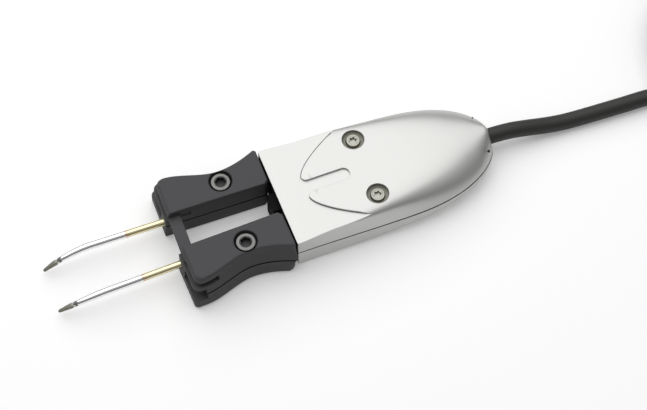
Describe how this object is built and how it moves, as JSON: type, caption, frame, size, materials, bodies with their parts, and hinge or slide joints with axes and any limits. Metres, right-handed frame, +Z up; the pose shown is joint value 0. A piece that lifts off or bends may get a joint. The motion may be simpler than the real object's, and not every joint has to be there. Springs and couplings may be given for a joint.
{
  "type": "soldering tweezers",
  "caption": "Soldering tweezers with a rounded silver case, sprung black grip arms, slim heated tips bent at their ends, a guide bar between the arms and a coiled cord with a round plug",
  "frame": {"origin": "On the table under the middle of the tool's box without its cord", "axes": "+X towards the tips, +Y towards the near arm, +Z up out of the raised panel"},
  "size_m": [0.2945, 0.0736, 0.0273],
  "materials": {
    "silver_case": "satin silver lacquer on moulded plastic",
    "grip_plastic": "fine matte grain",
    "black_plastic": "smooth moulded black",
    "screw_steel": "turned steel",
    "brass_contact": "plain brass",
    "tip_gilt": "gilded, satin",
    "tip_chrome": "polished plating",
    "tip_tinned": "tinned iron, dull",
    "cord_rubber": "matte sheath",
    "board_laminate": "glass laminate",
    "tie_fabric": "woven strap",
    "plug_metal": "nickel plated, satin"
  },
  "bodies": {
    "handle": {"upper_shell": "silver_case", "lower_shell": "silver_case", "front_bezel": "black_plastic", "case_screws": "screw_steel", "case_inserts": "brass_contact", "pivot_sleeves": "screw_steel", "cable_grommet": "cord_rubber", "cable_end": "cord_rubber", "cable_clamp": "black_plastic", "clamp_screws": "screw_steel", "tag_board": "board_laminate", "solder_tags": "brass_contact", "inner_leads": "cord_rubber", "near_spring": "screw_steel", "far_spring": "screw_steel", "cord_lead": "cord_rubber", "cord_coil": "cord_rubber", "coil_tie": "tie_fabric", "cord_tail": "cord_rubber", "plug_boot": "cord_rubber", "plug_shell": "plug_metal", "plug_pins": "brass_contact"},
    "near_arm": {"near_lever": "black_plastic", "near_grip_upper": "grip_plastic", "near_grip_lower": "grip_plastic", "near_grip_screw": "screw_steel", "near_grip_nut": "screw_steel", "near_tip_socket": "brass_contact", "near_tip_contact": "brass_contact", "near_tip_barrel": "tip_gilt", "near_tip_shaft": "tip_chrome", "near_tip_bit": "tip_tinned"},
    "far_arm": {"far_lever": "black_plastic", "far_grip_upper": "grip_plastic", "far_grip_lower": "grip_plastic", "far_grip_screw": "screw_steel", "far_grip_nut": "screw_steel", "far_tip_socket": "brass_contact", "far_tip_contact": "brass_contact", "far_tip_barrel": "tip_gilt", "far_tip_shaft": "tip_chrome", "far_tip_bit": "tip_tinned", "guide_bar": "black_plastic"},
    "coupling": {"plug_ring": "plug_metal"}
  },
  "joints": [
    {"name": "near_arm_close", "type": "hinge", "parent": "handle", "child": "near_arm", "pos_m": [-0.033, 0.011, 0.0072], "axis": [0, 0, -1], "range_deg": [0, 3.7], "stiffness_Nm_per_rad": 0.6, "springref_deg": -2.86, "deforming": ["near_spring"]},
    {"name": "far_arm_close", "type": "hinge", "parent": "handle", "child": "far_arm", "pos_m": [-0.033, -0.011, 0.0072], "axis": [0, 0, 1], "range_deg": [0, 3.7], "stiffness_Nm_per_rad": 0.6, "springref_deg": -2.86, "deforming": ["far_spring"]},
    {"name": "coupling_turn", "type": "hinge", "parent": "handle", "child": "coupling", "pos_m": [-0.1985, 0.011, 0.0198], "axis": [-1, 0, 0], "continuous": true}
  ]
}
